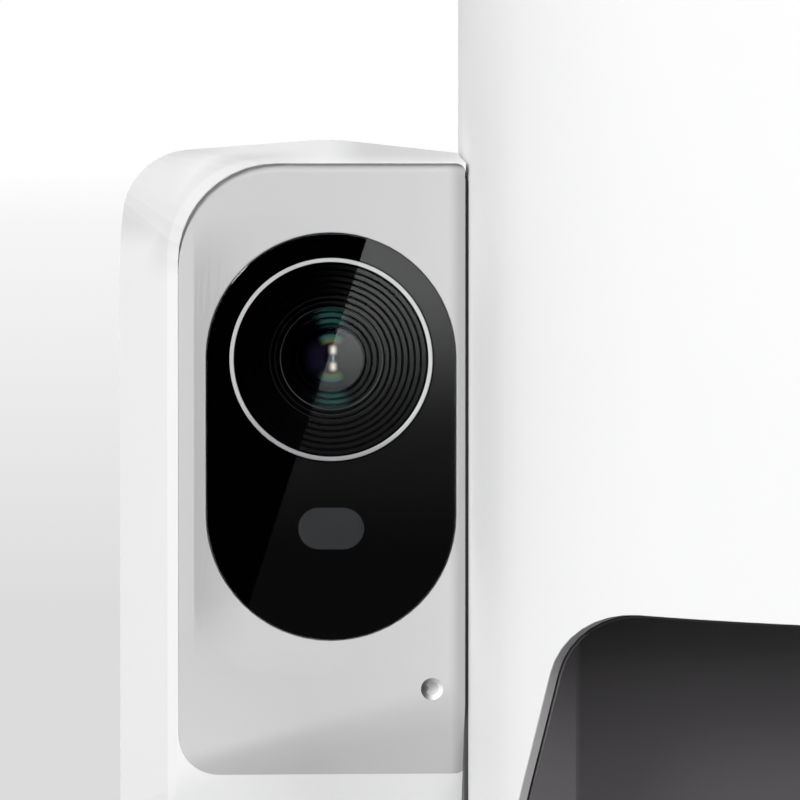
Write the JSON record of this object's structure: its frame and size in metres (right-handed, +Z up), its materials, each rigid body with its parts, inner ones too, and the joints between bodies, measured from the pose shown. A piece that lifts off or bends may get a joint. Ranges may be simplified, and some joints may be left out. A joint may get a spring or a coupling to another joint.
{
  "type": "automatic pet feeder with camera",
  "caption": "Round dry food feeder with a side camera pod, a dark feeding bay, a hinged lid over a hopper with a geared portion rotor, and a pull-out bowl tray.",
  "frame": {"origin": "middle of the footprint of the whole object, on the surface that it stands on", "axes": "+Z up, the front with the bowl faces -Y, the camera pod is on the -X side"},
  "size_m": [0.2214, 0.2685, 0.312],
  "materials": {
    "white_plastic": "fine satin white",
    "plate_plastic": "fine matt light grey",
    "liner_plastic": "fine matt dark grey",
    "black_gloss": "gloss black print",
    "window_clear": "clear hard-coated acrylic",
    "lens_glass": "coated glass",
    "ring_metal": "bright turned ring",
    "matt_black": "matt black",
    "smoke_plastic": "smoked window",
    "natural_plastic": "natural white moulding",
    "gear_plastic": "acetal",
    "dark_plastic": "dark grey moulding",
    "steel": "brushed stainless steel",
    "brass": "turned brass",
    "rubber": "soft rubber",
    "silicone": "grey silicone",
    "board_green": "solder mask",
    "cell_sleeve": "cell sleeve",
    "light_plastic": "milky light guide"
  },
  "bodies": {
    "feeder": {"housing": "white_plastic", "bay_liner": "liner_plastic", "base_pan": "white_plastic", "base_feet": "rubber", "base_screws": "steel", "hopper": "natural_plastic", "dosing_chamber": "natural_plastic", "outlet_guard": "natural_plastic", "food_chute": "natural_plastic", "gearbox_case": "dark_plastic", "gearbox_cover": "dark_plastic", "gear_motor": "steel", "idler_pin": "steel", "main_board": "board_green", "board_parts": "matt_black", "battery_box": "dark_plastic", "battery_contacts": "brass", "battery_cells": "cell_sleeve", "power_inlet": "matt_black", "speaker": "matt_black", "light_ring": "light_plastic", "button_board": "board_green", "hinge_pin": "steel", "pod_shell": "white_plastic", "pod_gasket": "rubber", "pod_screws": "steel", "front_plate": "plate_plastic", "window_glass": "window_clear", "window_mask": "black_gloss", "lens_ring": "ring_metal", "lens_baffle": "matt_black", "lens_barrel": "matt_black", "lens_elements": "lens_glass", "image_board": "board_green", "sensor_window": "smoke_plastic", "microphone": "brass"},
    "lid": {"lid": "white_plastic", "lid_seal": "silicone", "desiccant_box": "natural_plastic"},
    "latch": {"lid_latch": "white_plastic"},
    "cap": {"desiccant_cap": "natural_plastic"},
    "rotor": {"rotor": "natural_plastic", "rotor_shaft": "steel", "output_gear": "gear_plastic"},
    "idler": {"idler_gear": "gear_plastic"},
    "pinion": {"motor_pinion": "brass"},
    "battery_cover": {"battery_cover": "white_plastic"},
    "feed_button": {"feed_button": "white_plastic"},
    "tray": {"bowl_tray": "white_plastic", "tray_feet": "rubber"},
    "bowl": {"bowl": "steel"}
  },
  "joints": [
    {"name": "lid_hinge", "type": "hinge", "parent": "feeder", "child": "lid", "pos_m": [0.0207, 0.13025, 0.293], "axis": [-1, 0, 0], "range_deg": [0, 100]},
    {"name": "latch_press", "type": "slide", "parent": "lid", "child": "latch", "axis": [0, 1, 0], "range_m": [0, 0.002], "stiffness_N_per_m": 400, "springref_m": -0.002},
    {"name": "cap_turn", "type": "hinge", "parent": "lid", "child": "cap", "pos_m": [0.0207, 0.03675, 0.273], "axis": [0, 0, 1], "range_deg": [0, 45]},
    {"name": "rotor_spin", "type": "hinge", "parent": "feeder", "child": "rotor", "pos_m": [0.0207, 0.03675, 0.1933], "axis": [0, 0, 1], "continuous": true},
    {"name": "idler_spin", "type": "hinge", "parent": "feeder", "child": "idler", "pos_m": [0.0207, 0.06495, 0.17], "axis": [0, 0, 1], "continuous": true},
    {"name": "pinion_spin", "type": "hinge", "parent": "feeder", "child": "pinion", "pos_m": [0.0207, 0.09115, 0.164], "axis": [0, 0, 1], "continuous": true},
    {"name": "battery_cover_pull", "type": "slide", "parent": "feeder", "child": "battery_cover", "axis": [0, 1, 0], "range_m": [0, 0.06]},
    {"name": "feed_button_press", "type": "slide", "parent": "feeder", "child": "feed_button", "axis": [0, 1, 0], "range_m": [0, 0.0012], "stiffness_N_per_m": 800, "springref_m": -0.001},
    {"name": "tray_pull", "type": "slide", "parent": "feeder", "child": "tray", "axis": [0, -1, 0], "range_m": [0, 0.12]},
    {"name": "bowl_lift", "type": "slide", "parent": "tray", "child": "bowl", "axis": [0, 0, 1], "range_m": [0, 0.06]}
  ],
  "couplings": [
    {"joint": "idler_spin", "follows": "rotor_spin", "ratio": -3},
    {"joint": "pinion_spin", "follows": "rotor_spin", "ratio": 10}
  ]
}
